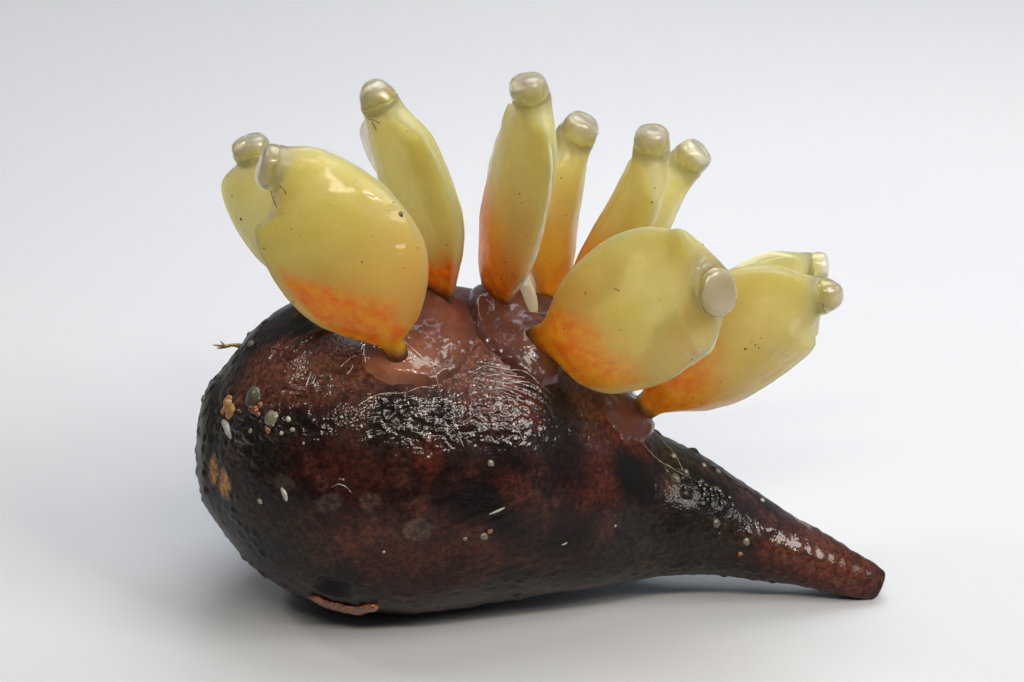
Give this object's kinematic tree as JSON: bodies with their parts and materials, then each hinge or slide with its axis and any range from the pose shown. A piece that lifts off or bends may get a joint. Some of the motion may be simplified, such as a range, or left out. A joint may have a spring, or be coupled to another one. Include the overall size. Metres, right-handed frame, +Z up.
{
  "type": "sea snail egg capsules on a stalked sea squirt",
  "caption": "Brown leathery pear-shaped body with a ringed tapering tail, bearing a crown of stalked translucent yellow egg capsules with clear plugs, as a still specimen",
  "frame": {"origin": "middle of the small flat that the bulb of the body rests on", "axes": "+X from the blunt end to the tail tip, +Y away from the front side, +Z up"},
  "size_m": [0.0456, 0.023, 0.0386],
  "materials": {
    "leathery_skin": "wet, wrinkled brown leathery skin with glossy film",
    "tail_skin": "wet, granular greenish-black to red-brown ringed skin",
    "basal_membrane": "glossy translucent reddish-brown film",
    "capsule_stalk": "pale translucent yellow, smooth and wet",
    "capsule_wall": "translucent yellow capsule wall with orange egg mass at its base, glossy",
    "capsule_plug": "clear, slightly milky plug, glossy"
  },
  "bodies": {
    "root": {"body": "leathery_skin", "tail_root": "tail_skin", "tail_tip": "tail_skin", "membrane_left": "basal_membrane", "membrane_middle": "basal_membrane", "membrane_right": "basal_membrane", "capsule_01_stalk": "capsule_stalk", "capsule_01_sac": "capsule_wall", "capsule_01_cap": "capsule_plug", "capsule_02_stalk": "capsule_stalk", "capsule_02_sac": "capsule_wall", "capsule_02_cap": "capsule_plug", "capsule_03_stalk": "capsule_stalk", "capsule_03_sac": "capsule_wall", "capsule_03_cap": "capsule_plug", "capsule_04_stalk": "capsule_stalk", "capsule_04_sac": "capsule_wall", "capsule_04_cap": "capsule_plug", "capsule_05_stalk": "capsule_stalk", "capsule_05_sac": "capsule_wall", "capsule_05_cap": "capsule_plug", "capsule_06_stalk": "capsule_stalk", "capsule_06_sac": "capsule_wall", "capsule_06_cap": "capsule_plug", "capsule_07_stalk": "capsule_stalk", "capsule_07_sac": "capsule_wall", "capsule_07_cap": "capsule_plug", "capsule_08_stalk": "capsule_stalk", "capsule_08_sac": "capsule_wall", "capsule_08_cap": "capsule_plug", "capsule_09_stalk": "capsule_stalk", "capsule_09_sac": "capsule_wall", "capsule_09_cap": "capsule_plug", "capsule_10_stalk": "capsule_stalk", "capsule_10_sac": "capsule_wall", "capsule_10_cap": "capsule_plug"}
  },
  "joints": []
}
